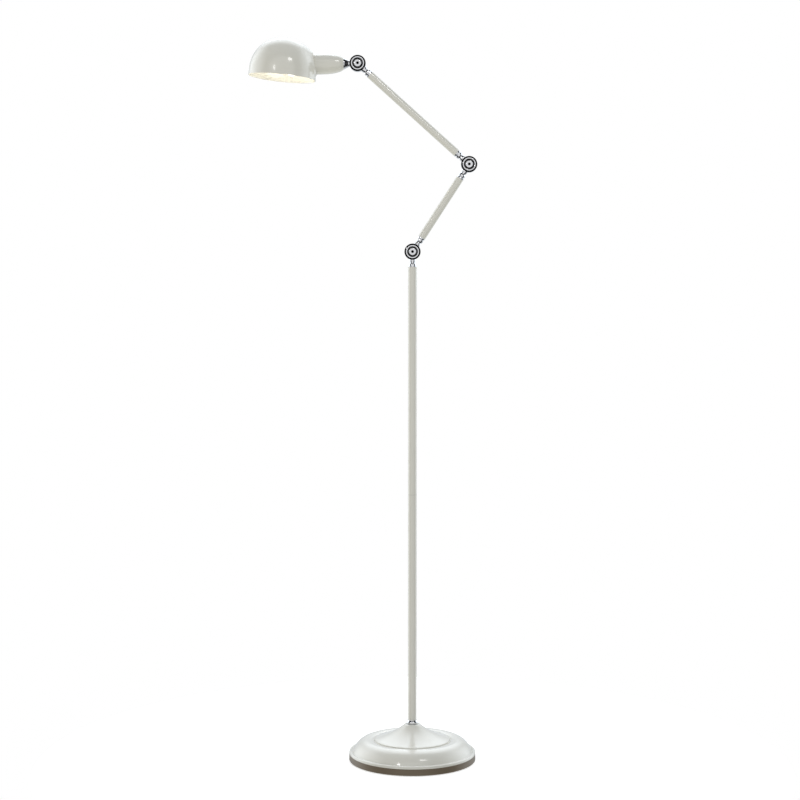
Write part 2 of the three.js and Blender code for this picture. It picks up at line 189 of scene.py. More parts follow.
def turned(outline, place=UPRIGHT, sides=ROUND):
    """A solid of revolution about Z.

    Its outline is a list of (radius, height) points that closes on itself or on the axis.
    """
    bm = bmesh.new()
    rings = []
    for radius, height in outline:
        count = 1 if radius < ON_AXIS else sides
        ring = []
        for side in range(count):
            angle = 2 * math.pi * side / sides
            point = Vector((radius * math.cos(angle), radius * math.sin(angle), height))
            ring.append(bm.verts.new(place @ (point * MM)))
        rings.append(ring)
    pairs = list(zip(rings, rings[1:]))
    if len(rings[0]) > 1 or len(rings[-1]) > 1:
        pairs.append((rings[-1], rings[0]))
    for low, high in pairs:
        for side in range(sides):
            lower = (corner(low, side), corner(low, side + 1))
            upper = (corner(high, side + 1), corner(high, side))
            corners = list(dict.fromkeys(lower + upper))
            if len(corners) > 2:
                bm.faces.new(corners)
    return made_object(bm)


def tube(inner, outer, low, high, ease=0.3):
    """The outline of a tube or washer with softened edges."""
    return eased(
        [(inner, low, ease), (outer, low, ease), (outer, high, ease), (inner, high, ease)]
    )


def settle(obj):
    """Replaces an object's mesh by what its modifiers make of it."""
    evaluated = obj.evaluated_get(bpy.context.evaluated_depsgraph_get())
    mesh = bpy.data.meshes.new_from_object(evaluated)
    obj.modifiers.clear()
    obj.data = mesh
    return obj


def boolean(obj, other, operation):
    """Cuts, joins or intersects an object with another one, which is used up."""
    change = obj.modifiers.new("boolean", "BOOLEAN")
    change.operation = operation
    change.solver = "EXACT"
    change.object = other
    settle(obj)
    bpy.data.objects.remove(other)
    return obj


def cut_flat(obj, point, normal):
    """Cuts off what is past a plane and closes the wall between the two edges that this leaves."""
    bm = bmesh.new()
    bm.from_mesh(obj.data)
    geometry = bm.verts[:] + bm.edges[:] + bm.faces[:]
    bmesh.ops.bisect_plane(
        bm, geom=geometry, plane_co=point, plane_no=normal, clear_outer=True, dist=1e-7
    )
    open_edges = [edge for edge in bm.edges if edge.is_boundary]
    bmesh.ops.bridge_loops(bm, edges=open_edges)
    bmesh.ops.recalc_face_normals(bm, faces=bm.faces)
    bm.to_mesh(obj.data)
    bm.free()
    return obj


def merged(first, *others):
    """Several objects as one mesh of separate shells."""
    bm = bmesh.new()
    for obj in (first, *others):
        bm.from_mesh(obj.data)
    bm.to_mesh(first.data)
    bm.free()
    for obj in others:
        bpy.data.objects.remove(obj)
    return first


# ------------------------------------------------------------------ materials


class Shader:
    """A node material with one Principled shader, and short ways to build what feeds it."""

    def __init__(self, name, sockets):
        self.material = bpy.data.materials.new(name)
        self.material.use_nodes = True
        self.nodes = self.material.node_tree.nodes
        self.links = self.material.node_tree.links
        self.principled = self.nodes["Principled BSDF"]
        for socket, value in sockets.items():
            self.principled.inputs[socket].default_value = value
        self.place = self.nodes.new("ShaderNodeTexCoord").outputs["Object"]

    def noise(self, scale, detail=2.0, stretch=None):
        """Noise over the surface; scale is in features a metre."""
        node = self.nodes.new("ShaderNodeTexNoise")
        node.inputs["Scale"].default_value = scale
        node.inputs["Detail"].default_value = detail
        place = self.place
        if stretch:
            mapping = self.nodes.new("ShaderNodeMapping")
            mapping.inputs["Scale"].default_value = stretch
            self.links.new(place, mapping.inputs["Vector"])
            place = mapping.outputs["Vector"]
        self.links.new(place, node.inputs["Vector"])
        return node.outputs["Fac"]

    def spread(self, factor, low, high, start=0.3, stop=0.7):
        """A factor's range between start and stop, spread from low to high."""
        node = self.nodes.new("ShaderNodeMapRange")
        limits = {"From Min": start, "From Max": stop, "To Min": low, "To Max": high}
        for socket, value in limits.items():
            node.inputs[socket].default_value = value
        self.links.new(factor, node.inputs["Value"])
        return node.outputs["Result"]

    def blend(self, factor, first, second):
        """A colour between two colours, or two colour outputs."""
        node = self.nodes.new("ShaderNodeMix")
        node.data_type = "RGBA"
        self.links.new(factor, node.inputs["Factor"])
        for socket, colour in ((node.inputs[6], first), (node.inputs[7], second)):
            if isinstance(colour, tuple):
                socket.default_value = (*colour, 1)
            else:
                self.links.new(colour, socket)
        return node.outputs[2]

    def feed(self, socket, output):
        """Lets an output drive one of the Principled shader's sockets."""
        self.links.new(output, self.principled.inputs[socket])

    def bump(self, height, strength, depth):
        """Raises the surface by up to depth metres."""
        node = self.nodes.new("ShaderNodeBump")
        node.inputs["Strength"].default_value = strength
        node.inputs["Distance"].default_value = depth
        self.links.new(height, node.inputs["Height"])
        self.feed("Normal", node.outputs["Normal"])


def ivory_paint():
    """Gloss enamel: a warm white with a faint cloudiness, and the orange peel of a sprayed coat."""
    paint = Shader(
        "ivory_paint", {"Specular IOR Level": 0.5, "Coat Weight": 0.6, "Coat Roughness": 0.04}
    )
    cloud = paint.spread(paint.noise(9, 3), 0, 1)
    base = paint.blend(cloud, (0.80, 0.79, 0.735), (0.77, 0.762, 0.71))
    specks = paint.spread(paint.noise(2600, 1), 0, 1, 0.74, 0.82)
    paint.feed("Base Color", paint.blend(specks, base, (0.70, 0.68, 0.60)))
    paint.feed("Roughness", paint.spread(paint.noise(60, 4), 0.16, 0.26))
    paint.bump(paint.noise(520, 2), 0.06, 0.00006)
    return paint.material


def polished_chrome():
    """Chrome with faint haze and polishing marks, but painted black on the marked faces: painted
    shade in the bolts' sockets and a painted dark reflection on the knuckles' outer bevels.
    """
    chrome = Shader("polished_chrome", {"Metallic": 1.0})
    haze = chrome.spread(chrome.noise(70, 4), 0, 1)
    clean = chrome.blend(haze, (0.80, 0.81, 0.825), (0.72, 0.725, 0.735))
    # the marked faces turn near black: painted shade and a painted dark reflection
    mark = chrome.nodes.new("ShaderNodeAttribute")
    mark.attribute_name = "blackened"
    chrome.feed("Base Color", chrome.blend(mark.outputs["Fac"], clean, (0.012, 0.011, 0.010)))
    marks = chrome.noise(900, 3, (1, 1, 0.15))
    chrome.feed("Roughness", chrome.spread(marks, 0.035, 0.10))
    chrome.bump(chrome.noise(300, 2), 0.05, 0.00002)
    return chrome.material


def taupe_weight():
    """The cast weight's satin enamel, with turning lines round its edge and a fine grain."""
    weight = Shader("taupe_weight", {"Metallic": 0.1, "Specular IOR Level": 0.45})
    lines = weight.noise(16, 3, (1, 1, 60))
    grain = weight.noise(1800, 2)
    toned = weight.blend(weight.spread(lines, 0, 1), (0.190, 0.148, 0.100), (0.150, 0.117, 0.080))
    flecked = weight.spread(grain, 0, 1, 0.62, 0.75)
    weight.feed("Base Color", weight.blend(flecked, toned, (0.22, 0.18, 0.13)))
    weight.feed("Roughness", weight.spread(grain, 0.34, 0.5))
    weight.bump(grain, 0.25, 0.00008)
    return weight.material


def black_rubber():
    """Matt black rubber with a fine grain."""
    rubber = Shader("black_rubber", {"Specular IOR Level": 0.35})
    grain = rubber.noise(1500, 3)
    rubber.feed("Base Color", rubber.blend(grain, (0.018, 0.018, 0.018), (0.045, 0.044, 0.042)))
    rubber.feed("Roughness", rubber.spread(grain, 0.62, 0.85))
    rubber.bump(grain, 0.4, 0.0001)
    return rubber.material


def zinc_steel():
    """Zinc-plated steel, a little yellowed where it has bloomed."""
    zinc = Shader("zinc_steel", {"Metallic": 1.0})
    bloom = zinc.spread(zinc.noise(220, 4), 0, 1)
    zinc.feed("Base Color", zinc.blend(bloom, (0.48, 0.49, 0.51), (0.40, 0.39, 0.36)))
    zinc.feed("Roughness", zinc.spread(zinc.noise(500, 3), 0.24, 0.42))
    zinc.bump(zinc.noise(1500, 2), 0.1, 0.00005)
    return zinc.material


def black_oxide_and_painted_shade():
    """Steel with an oiled black oxide finish. On the spring washers, which fill the knuckles'
    recesses, the near-black also stands in for the recesses' shade.
    """
    black = Shader("black_oxide_and_painted_shade", {"Metallic": 0.6})
    oxide = black.noise(600, 4)
    black.feed("Base Color", black.blend(oxide, (0.008, 0.008, 0.009), (0.022, 0.021, 0.02)))
    black.feed("Roughness", black.spread(oxide, 0.3, 0.5))
    black.bump(oxide, 0.15, 0.00004)
    return black.material


def plain_brass():
    """Turned brass that has begun to tarnish."""
    brass = Shader("plain_brass", {"Metallic": 1.0})
    tarnish = brass.spread(brass.noise(180, 4), 0, 1)
    brass.feed("Base Color", brass.blend(tarnish, (0.78, 0.57, 0.25), (0.60, 0.42, 0.18)))
    brass.feed("Roughness", brass.spread(brass.noise(400, 3), 0.18, 0.36))
    brass.bump(brass.noise(1200, 2), 0.08, 0.00004)
    return brass.material


def dark_fibre():
    """Pressed fibre for the friction washers."""
    fibre = Shader("dark_fibre", {"Specular IOR Level": 0.3})
    strands = fibre.noise(1400, 4, (1, 1, 0.3))
    fibre.feed("Base Color", fibre.blend(strands, (0.030, 0.026, 0.024), (0.085, 0.072, 0.062)))
    fibre.feed("Roughness", fibre.spread(strands, 0.7, 0.9))
    fibre.bump(strands, 0.3, 0.00008)
    return fibre.material


def white_ceramic():
    """The lampholder's thinly glazed ceramic."""
    ceramic = Shader(
        "white_ceramic", {"Specular IOR Level": 0.5, "Coat Weight": 0.5, "Coat Roughness": 0.12}
    )
    cloud = ceramic.spread(ceramic.noise(80, 3), 0, 1)
    ceramic.feed("Base Color", ceramic.blend(cloud, (0.82, 0.80, 0.75), (0.76, 0.74, 0.68)))
    ceramic.feed("Roughness", ceramic.spread(ceramic.noise(300, 2), 0.28, 0.42))
    ceramic.bump(ceramic.noise(700, 3), 0.15, 0.0001)
    return ceramic.material


def white_insulation():
    """The leads' plastic sleeve."""
    insulation = Shader("white_insulation", {"Specular IOR Level": 0.4})
    cloud = insulation.noise(120, 2)
    insulation.feed("Base Color", insulation.blend(cloud, (0.74, 0.74, 0.72), (0.66, 0.66, 0.63)))
    insulation.feed("Roughness", insulation.spread(cloud, 0.4, 0.55))
    insulation.bump(insulation.noise(900, 2), 0.1, 0.00005)
    return insulation.material


def opal_glass():
    """The lit bulb: opal glass with a warm, slightly uneven glow."""
    opal = Shader("opal_glass", {"Roughness": 0.25, "Emission Strength": 4.6})
    cloud = opal.spread(opal.noise(60, 3), 0, 1)
    opal.feed("Base Color", opal.blend(cloud, (0.95, 0.91, 0.82), (0.90, 0.86, 0.76)))
    opal.feed("Emission Color", opal.blend(cloud, (1.0, 0.94, 0.82), (1.0, 0.92, 0.78)))
    return opal.material


FINISHES = {
    "paint_ivory": ivory_paint(),
    "chrome_polished": polished_chrome(),
    "weight_taupe": taupe_weight(),
    "rubber_black": black_rubber(),
    "steel_zinc": zinc_steel(),
    "steel_blackened": black_oxide_and_painted_shade(),
    "brass_plain": plain_brass(),
    "fibre_dark": dark_fibre(),
    "ceramic_white": white_ceramic(),
    "insulation_white": white_insulation(),
    "bulb_opal": opal_glass(),
}

# ------------------------------------------------------------------ placing the pieces

SHARP = math.radians(32)  # edges that turn by more than this stay sharp


def piece(node, shape):
    """Makes shape stand for a CAD node: it takes the node's finish and moves with its body."""
    shape.name = "fine_" + node
    shape.data.name = shape.name
    shape.data.shade_smooth()
    shape.data.set_sharp_from_angle(angle=SHARP)
    normals = shape.modifiers.new("normals", "WEIGHTED_NORMAL")
    normals.keep_sharp = True
    settle(shape)
    shape.data.materials.clear()
    shape.data.materials.append(FINISHES[SLOT_OF[node]])
    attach(shape, BODY_OF[node])
    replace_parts(shape, node)
    return shape


def finish_cad_node(node):
    """A CAD node whose shape is right stays, with its slot's material."""
    shown = frame["nodes"][node]
    shown.data.materials.clear()
    shown.data.materials.append(FINISHES[SLOT_OF[node]])


# ------------------------------------------------------------------ stand

BASE_R = span("weight_plate", 0)[1]
PLATE_LOW, PLATE_HIGH = span("weight_plate", 2)
PAD_R = span("floor_pad", 0)[1]
PAD_HIGH = span("floor_pad", 2)[1]
COVER_LOW, COVER_HIGH = span("base_cover", 2)
COLLAR_LOW, COLLAR_HIGH = span("pole_collar", 2)
COLLAR_R = span("pole_collar", 0)[1]
POLE_R = span("lower_pole", 0)[1]
POLE_BORE = POLE_R - 1
POLE_SEAT = 80.3  # the pole's foot rests here, inside its collar
NIPPLE_HOLE_R = 5.5
PRESSED_WALL = 1.2  # wall of the base cover, the barrel and the shade
GROOVE_R = 80  # the ring groove pressed into the base cover
LIP_R = 3.4  # rounding of the base cover's rolled lip
GRIP_GROOVES = (100, 107, 114)  # where the pad's grooves start
GLAND_Z = sum(span("cord_gland", 2)) / 2
GLAND = Matrix.Translation((0, 0, GLAND_Z * MM)) @ Matrix.Rotation(-math.pi / 2, 4, "X")


def floor_pad():
    """A rubber disc with grip grooves moulded round its underside."""
    outline = [(0, 0)]
    for groove in GRIP_GROOVES:
        outline += [(groove, 0), (groove + 0.8, 0.7), (groove + 2.4, 0.7), (groove + 3.2, 0)]
    outline += [(PAD_R, 0, 0.6), (PAD_R, PAD_HIGH, 0.8), (0, PAD_HIGH)]
    piece("floor_pad", turned(eased(outline), sides=WIDE))


def weight_plate():
    """The cast weight: recessed for the pad, and deeper for the nut, with a hole for the gland."""
    recess = PAD_HIGH + 0.3
    nut_pocket = 9.3
    outline = [
        (5.4, nut_pocket),
        (14, nut_pocket),
        (14, recess),
        (PAD_R + 1, recess),
        (PAD_R + 1, PLATE_LOW, 0.4),
        (BASE_R, PLATE_LOW, 1.0),
        (BASE_R, PLATE_HIGH, 1.0),
        (5.4, PLATE_HIGH),
    ]
    plate = turned(eased(outline), sides=WIDE)
    deep, out = BASE_R - 16, BASE_R + 5
    hole = turned([(0, deep), (4.4, deep), (4.4, out), (0, out)], GLAND, SMALL)
    piece("weight_plate", boolean(plate, hole, "DIFFERENCE"))


def base_cover():
    """The pressed cover: rolled lip, valley, domed shoulder, pressed groove and concave cone."""
    outline = [
        (BASE_R, COVER_LOW, 0.3),
        (BASE_R, 17.5),
        *arc((BASE_R - LIP_R, 17.3), LIP_R, 0, 112, 12),
        *bend((129.6, 19.2), (128.0, 18.0), (126.9, 20.5), 8),
        *bend((126.9, 20.5), (117, 43.2), (97, 45), 28),
        *bend((GROOVE_R + 10, 44.8), (GROOVE_R + 6, 44.5), (GROOVE_R + 4, 43.5), 8),
        *bend((GROOVE_R + 3, 42.9), (GROOVE_R + 0.6, 40.6), (GROOVE_R + 0.3, 42.2), 8),
        *bend((GROOVE_R + 0.1, 44.2), (GROOVE_R, 45.1), (GROOVE_R - 1.1, 45.5), 6),
        *bend((GROOVE_R - 3, 46.3), (40, 56.8), (18.2, 75.4), 40),
        *bend((18.2, 75.4), (16.6, COVER_HIGH), (14.4, COVER_HIGH), 6),
        (NIPPLE_HOLE_R, COVER_HIGH),
        (NIPPLE_HOLE_R, COVER_HIGH - PRESSED_WALL),
        (14.0, COVER_HIGH - PRESSED_WALL),
        *bend((16.2, 74.4), (39, 55.2), (GROOVE_R - 3, 44.8), 24),
        (GROOVE_R - 1.4, 43.6),
        (GROOVE_R - 0.8, 40.2),
        (GROOVE_R + 8, 43.0),
        (96, 43.6),
        *bend((96, 43.6), (115.6, 41.6), (125.6, 20.4), 16),
        (127, 16.7),
        (BASE_R - PRESSED_WALL, 16.3),
        (BASE_R - PRESSED_WALL, COVER_LOW),
    ]
    piece("base_cover", turned(eased(outline), sides=WIDE))


def cord_gland():
    """A rubber grommet with a ribbed neck, in the weight's edge at the back."""
    end = BASE_R + 3.4
    outline = [
        (3, BASE_R - 10, 0.3),
        (4, BASE_R - 10, 0.3),
        (4, BASE_R + 0.4),
        (6.2, BASE_R + 0.4, 0.4),
        (6.2, BASE_R + 1.6, 0.5),
        (5.0, BASE_R + 1.9, 0.3),
        (5.2, BASE_R + 2.5, 0.3),
        (4.9, end, 0.5),
        (3, end, 0.5),
    ]
    piece("cord_gland", turned(eased(outline), GLAND, SMALL))


def pole_collar():
    """The turned chrome collar at the pole's foot."""
    waist = (COLLAR_LOW + COLLAR_HIGH) / 2
    outline = [
        (NIPPLE_HOLE_R, COLLAR_LOW),
        (COLLAR_R - 1.6, COLLAR_LOW, 0.3),
        *arc((COLLAR_R - 4.6, waist - 0.4), 4.6, -50, 52, 14),
        (10.5, COLLAR_HIGH, 0.4),
        (POLE_R + 0.4, COLLAR_HIGH, 0.2),
        (POLE_R + 0.4, POLE_SEAT),
        (NIPPLE_HOLE_R, POLE_SEAT),
    ]
    piece("pole_collar", turned(eased(outline)))


def poles():
    """The two tubes of the pole."""
    for node in ("lower_pole", "upper_pole"):
        low, high = span(node, 2)
        piece(node, turned(tube(POLE_BORE, POLE_R, low, high, 0.35)))


def swivel_bush():
    """The bush in the pole's top, with a flange that covers the tube's end."""
    low, high = span("swivel_bush", 2)
    flange = POLE_R - 0.1
    outline = [
        (5.5, low),
        (POLE_BORE - 0.3, low),
        (POLE_BORE - 0.3, high - 1.2),
        (flange, high - 1.2, 0.2),
        (flange, high, 0.3),
        (5.5, high),
    ]
    piece("swivel_bush", turned(eased(outline)))


# ------------------------------------------------------------------ knuckles

# Heights are in front of the plane where a knuckle's two halves meet.
KNUCKLE_R = 17
BOLT_HOLE_R = 4.3
STEM_R = 5.2
STEM_FOOT = 14
RECESS_R = 11.4
RECESS_FLOOR = 6.6
FRONT_FACE = 10.2
BEVEL_R = 13.5  # where the outer bevel starts, on the front face
BEVEL_LOW = 7.3  # where it ends, on the rim
HOLLOW_R = 13.2  # the hollow on the mating side, round a hub
HOLLOW_ROOF = 4.2
HUB_R = 6.6
MATING_FACE = 0.6
BOLT_SEAT = 8.0
SOCKET_R = 2.95
SOCKET_FLOOR = 4.2
NUT_LOW = -10.2
NUT_HIGH = -6.9


def blackened(obj, place, chosen):
    """Marks the faces chosen by radius and height, in mm about a knuckle's axis, for the chrome's
    painted black, which stands for shade in a recess or a dark reflection.
    """
    to_knuckle = (place @ FACING).inverted()
    mark = obj.data.attributes.new("blackened", "FLOAT", "FACE")
    for face in obj.data.polygons:
        x, y, height = to_knuckle @ face.center / MM
        mark.data[face.index].value = float(chosen(math.hypot(x, y), height))
    return obj


def knuckle_half(place, stem_end):
    """A hollow disc in front of the mid-plane, and a round stem on the mid-plane along +Z."""
    disc = turned(
        eased(
            [
                (BOLT_HOLE_R, RECESS_FLOOR),
                (RECESS_R, RECESS_FLOOR, 0.3),
                (RECESS_R, FRONT_FACE, 0.5),
                (BEVEL_R, FRONT_FACE, 0.3),
                (KNUCKLE_R, BEVEL_LOW, 0.3),
                (KNUCKLE_R, MATING_FACE + 1.4, 0.4),
                (KNUCKLE_R, MATING_FACE, 0.25),
                (HOLLOW_R, MATING_FACE),
                (HOLLOW_R, HOLLOW_ROOF),
                (HUB_R, HOLLOW_ROOF),
                (HUB_R, MATING_FACE),
                (BOLT_HOLE_R, MATING_FACE),
            ]
        ),
        place @ FACING,
    )
    stem = turned(
        eased(
            [
                (0, STEM_FOOT),
                (6.8, STEM_FOOT),
                *bend((6.7, 17.0), (6.5, 20.6), (STEM_R, 23.5), 8),
                (STEM_R, stem_end, 0.4),
                (0, stem_end),
            ]
        ),
        place,
    )
    clearance = MATING_FACE + 0.3
    other_half = turned(
        [(0, -20), (KNUCKLE_R + 0.5, -20), (KNUCKLE_R + 0.5, clearance), (0, clearance)],
        place @ FACING,
    )
    boolean(stem, other_half, "DIFFERENCE")
    casting = boolean(disc, stem, "UNION")
    wire_hole = turned([(0, 9), (2.8, 9), (2.8, stem_end + 1), (0, stem_end + 1)], place, SMALL)
    boolean(casting, wire_hole, "DIFFERENCE")
    # the outer bevel is painted black: a painted dark reflection on the chrome
    return blackened(
        casting, place, lambda radius, height: radius > BEVEL_R + 0.1 and height > BEVEL_LOW - 0.2
    )


def knuckle_bolt(place):
    """A low head with a hexagon socket, drilled to a point below it, and its shank."""
    end = -10.8
    bolt = turned(
        eased(
            [
                (0, end),
                (4, end, 0.5),
                (4, BOLT_SEAT),
                (8.2, BOLT_SEAT, 0.3),
                *bend((8.2, BOLT_SEAT + 1.6), (8.0, BOLT_SEAT + 3.0), (6.6, BOLT_SEAT + 3.3), 8),
                (4.6, BOLT_SEAT + 3.5),
                (0, BOLT_SEAT + 3.5),
            ]
        ),
        place @ FACING,
        SMALL,
    )
    socket = [
        (0, SOCKET_FLOOR),
        (SOCKET_R, 6.6),
        (SOCKET_R, BOLT_SEAT + 3),
        (3.4, BOLT_SEAT + 3.7),
        (0, BOLT_SEAT + 3.7),
    ]
    boolean(bolt, turned(socket, place @ FACING, 6), "DIFFERENCE")
    # the socket's walls and floor are painted black: painted shade in the recess
    return blackened(
        bolt, place, lambda radius, height: radius < SOCKET_R + 0.15 and height > SOCKET_FLOOR - 0.2
    )


def knuckle_nut(place):
    """A hexagon nut with turned corners on the knuckle's back."""
    prism = [(0, NUT_LOW), (7.5, NUT_LOW), (7.5, NUT_HIGH), (0, NUT_HIGH)]
    corners = [
        (0, NUT_LOW),
        (6.5, NUT_LOW),
        (7.7, NUT_LOW + 0.8),
        (7.7, NUT_HIGH - 0.3),
        (7.3, NUT_HIGH),
        (0, NUT_HIGH),
    ]
    hole = [
        (0, NUT_LOW - 1),
        (BOLT_HOLE_R, NUT_LOW - 1),
        (BOLT_HOLE_R, NUT_HIGH + 1),
        (0, NUT_HIGH + 1),
    ]
    nut = turned(prism, place @ FACING, 6)
    boolean(nut, turned(corners, place @ FACING, SMALL), "INTERSECT")
    return boolean(nut, turned(hole, place @ FACING, SMALL), "DIFFERENCE")


def disc_spring():
    """A slightly coned spring washer."""
    inner, outer, wall = 4.4, RECESS_R - 0.4, 0.6
    low = RECESS_FLOOR + 0.3
    return eased(
        [
            (inner, low + 0.2, 0.15),
            (outer, low, 0.15),
            (outer, low + wall, 0.2),
            (inner, low + 0.2 + wall, 0.15),
        ]
    )


def fasteners(knuckle, centre):
    """A knuckle's bolt, nut and two washers."""
    place = along(centre, (0, 0, 1))
    piece(f"{knuckle}_bolt", knuckle_bolt(place))
    piece(f"{knuckle}_nut", knuckle_nut(place))
    # the spring washer fills the recess, and its near-black finish is partly painted shade
    piece(f"{knuckle}_spring_washer", turned(disc_spring(), place @ FACING, SMALL))
    inner, outer, half = 13.6, 16.6, 0.3
    washer = tube(inner, outer, -half, half, 0.1)
    piece(f"{knuckle}_friction_washer", turned(washer, place @ FACING))


# ------------------------------------------------------------------ swivel and arms

ARM_R = 8
TUBE_START = 35.3  # from the knuckle's centre
STEM_END = 33
SWIVEL_STEM_END = 60
HEAD_STEM_END = 40


def ferrule():
    """The turned chrome ferrule between a stem and a tube, with its spigot inside the tube."""
    shoulder = TUBE_START - 0.3
    return eased(
        [
            (5.5, 24),
            (6.2, 24, 0.3),
            (7.5, 26.8, 0.6),
            (7.5, 30.2, 0.5),
            (6.2, 30.6, 0.3),
            (6.2, 32.3, 0.3),
            (ARM_R, 32.7, 0.4),
            (ARM_R, shoulder, 0.3),
            (6.7, shoulder),
            (6.7, shoulder + 10),
            (5.5, shoulder + 10),
        ]
    )


def swivel():
    """What turns on the pole: a collar, the lowest knuckle's front half and its fasteners."""
    low, high = span("swivel_collar", 2)
    collar = [
        (5.5, low),
        (8.9, low, 0.3),
        (8.9, high - 2.2, 0.8),
        (7.7, high, 0.5),
        (5.5, high, 0.2),
    ]
    piece("swivel_collar", turned(eased(collar)))
    piece("swivel_yoke", knuckle_half(SWIVEL, SWIVEL_STEM_END))
    fasteners("lower_knuckle", KNUCKLE_A)


def arm(name, place, far_place, back, front, knuckle):
    """An arm: a tube between two ferrules, and half a knuckle at either end.

    The half at its foot is a back half. The far one is a front half and carries the fasteners.
    """
    length = (far_place.translation - place.translation).length / MM
    piece(back, knuckle_half(place @ HALF_TURN, STEM_END))
    piece(f"{name}_foot_ferrule", turned(ferrule(), place))
    bare = tube(ARM_R - 1, ARM_R, TUBE_START, length - TUBE_START, 0.3)
    piece(f"{name}_tube", turned(bare, place))
    piece(f"{name}_head_ferrule", turned(ferrule(), far_place))
    piece(front, knuckle_half(far_place, STEM_END))
    fasteners(knuckle, far_place.translation)


# ------------------------------------------------------------------ head

SEAM = 89.3  # knuckle centre to the joint between barrel and shade
SEAM_TILT = math.radians(9)
BARREL_R = 21.1
BARREL_END = 29.3  # knuckle centre to the barrel's narrow end
DOME_R = 70
DOME_OUT = 157.4  # knuckle centre to the dome's centre, along the head's axis
DOME_DROP = 13.1  # and across it
DOME_TILT = math.radians(6.6)
HALVINGS = 30  # steps of the search for the shade's surface
NECK_BLEND = 4.0  # how softly the neck flows into the dome
NECK_SLOPE = 0.8  # share of a distance square to the head's axis that is square to the neck
SCREW_PITCH = 3.6  # of the bulb's cap and the lampholder's shell
SKIRT = 13.3  # height of the part between the dome and the rim
FLARE = 0.8  # how far the rim stands out past the dome, in radius
SEAM_NORMAL = (HEAD.to_3x3() @ Vector((-math.sin(SEAM_TILT), 0, math.cos(SEAM_TILT)))).normalized()
DOME = (
    HEAD
    @ Matrix.Translation(Vector((-DOME_DROP, 0, DOME_OUT)) * MM)
    @ Matrix.Rotation(math.pi / 2 + DOME_TILT, 4, "Y")
)


def seam_point(offset):
    """The point of the head's axis that is offset mm past the seam."""
    return HEAD @ Vector((0, 0, (SEAM + offset) * MM))


def barrel():
    """The barrel-shaped socket cover, cut off at a slant where the shade begins."""
    path = [
        (5.6, BARREL_END),
        (11.0, BARREL_END),
        *bend((11.8, BARREL_END + 0.1), (12.4, BARREL_END + 0.3), (12.9, BARREL_END + 1.0), 6),
        *bend((12.9, BARREL_END + 1.0), (19.0, 38.5), (20.7, 60), 28),
        *bend((20.8, 61), (21.2, 70), (21.2, 79), 8),
        (21.2, SEAM + 12),
    ]
    cover = turned(sheet(path, PRESSED_WALL), HEAD, WIDE)
    piece("barrel", cut_flat(cover, seam_point(-0.3), SEAM_NORMAL))


def soft_least(first, second, softness):
    """The lesser of two distances, blended where they are alike."""
    mix = np.clip(0.5 + 0.5 * (second - first) / softness, 0, 1)
    return second * (1 - mix) + first * mix - softness * mix * (1 - mix)


def outside_shade(points):
    """Distance outside the shade's surface, for points in the dome's own axes in millimetres."""
    radius = np.hypot(points[:, 0], points[:, 1])
    height = points[:, 2]
    flare = FLARE * np.clip(-height / SKIRT, 0, 1) ** 2
    dome = np.where(height > 0, np.linalg.norm(points, axis=1), radius) - DOME_R - flare
    to_head = np.array(HEAD.inverted() @ DOME)
    to_head[:3, 3] /= MM
    in_head = points @ to_head[:3, :3].T + to_head[:3, 3]
    fairing = bend((BARREL_R, 85), (24.5, 92.5), (41, 112), 24)
    stations = [0] + [height for _, height in fairing]
    radii = [BARREL_R] + [radius for radius, _ in fairing]
    neck = np.interp(in_head[:, 2], stations, radii)
    from_neck = np.hypot(in_head[:, 0], in_head[:, 1]) - neck
    beyond = np.clip(in_head[:, 2] - fairing[-1][1], 0, None)
    return soft_least(dome, from_neck * NECK_SLOPE + beyond, NECK_BLEND)


def reach(directions):
    """How far the shade's surface is from the dome's centre along each direction, by halving."""
    near = np.full(len(directions), 0.7 * DOME_R)
    far = np.full(len(directions), 1.5 * DOME_R)
    for _ in range(HALVINGS):
        middle = (near + far) / 2
        outside = outside_shade(directions * middle[:, None]) > 0
        far = np.where(outside, middle, far)
        near = np.where(outside, near, middle)
    return near


def shade_surface():
    """The crown's height, and the rest of the shade's sheet as rows of points.

    The rows run down the outside, round the rim's edge and back up the inside.
    """
    rim_angle = math.pi / 2 + math.atan2(SKIRT, DOME_R + FLARE)
    down = 96
    polar = np.linspace(0, rim_angle, down + 1)[1:]
    around = np.arange(WIDE) * 2 * math.pi / WIDE
    polar, around = np.meshgrid(polar, around, indexing="ij")
    directions = np.stack(
        [np.sin(polar) * np.cos(around), np.sin(polar) * np.sin(around), np.cos(polar)], axis=-1
    )
    distance = reach(directions.reshape(-1, 3)).reshape(polar.shape)
    outer = directions * distance[..., None]
    step_down = np.gradient(outer, axis=0)
    step_round = (np.roll(outer, -1, axis=1) - np.roll(outer, 1, axis=1)) / 2
    normal = np.cross(step_down, step_round)
    normal /= np.linalg.norm(normal, axis=-1, keepdims=True)
    inner = outer - normal * PRESSED_WALL
    rim_out, rim_in = outer[-1], inner[-1]
    middle, half = (rim_out + rim_in) / 2, (rim_out - rim_in) / 2
    drop = np.array([0, 0, -PRESSED_WALL / 2])
    rim = [
        middle + half * math.cos(turn) + drop * math.sin(turn)
        for turn in np.linspace(0, math.pi, 8)[1:-1]
    ]
    crown = float(reach(np.array([[0.0, 0.0, 1.0]]))[0])
    rows = [*outer, *rim, *inner[::-1]]
    return crown, rows


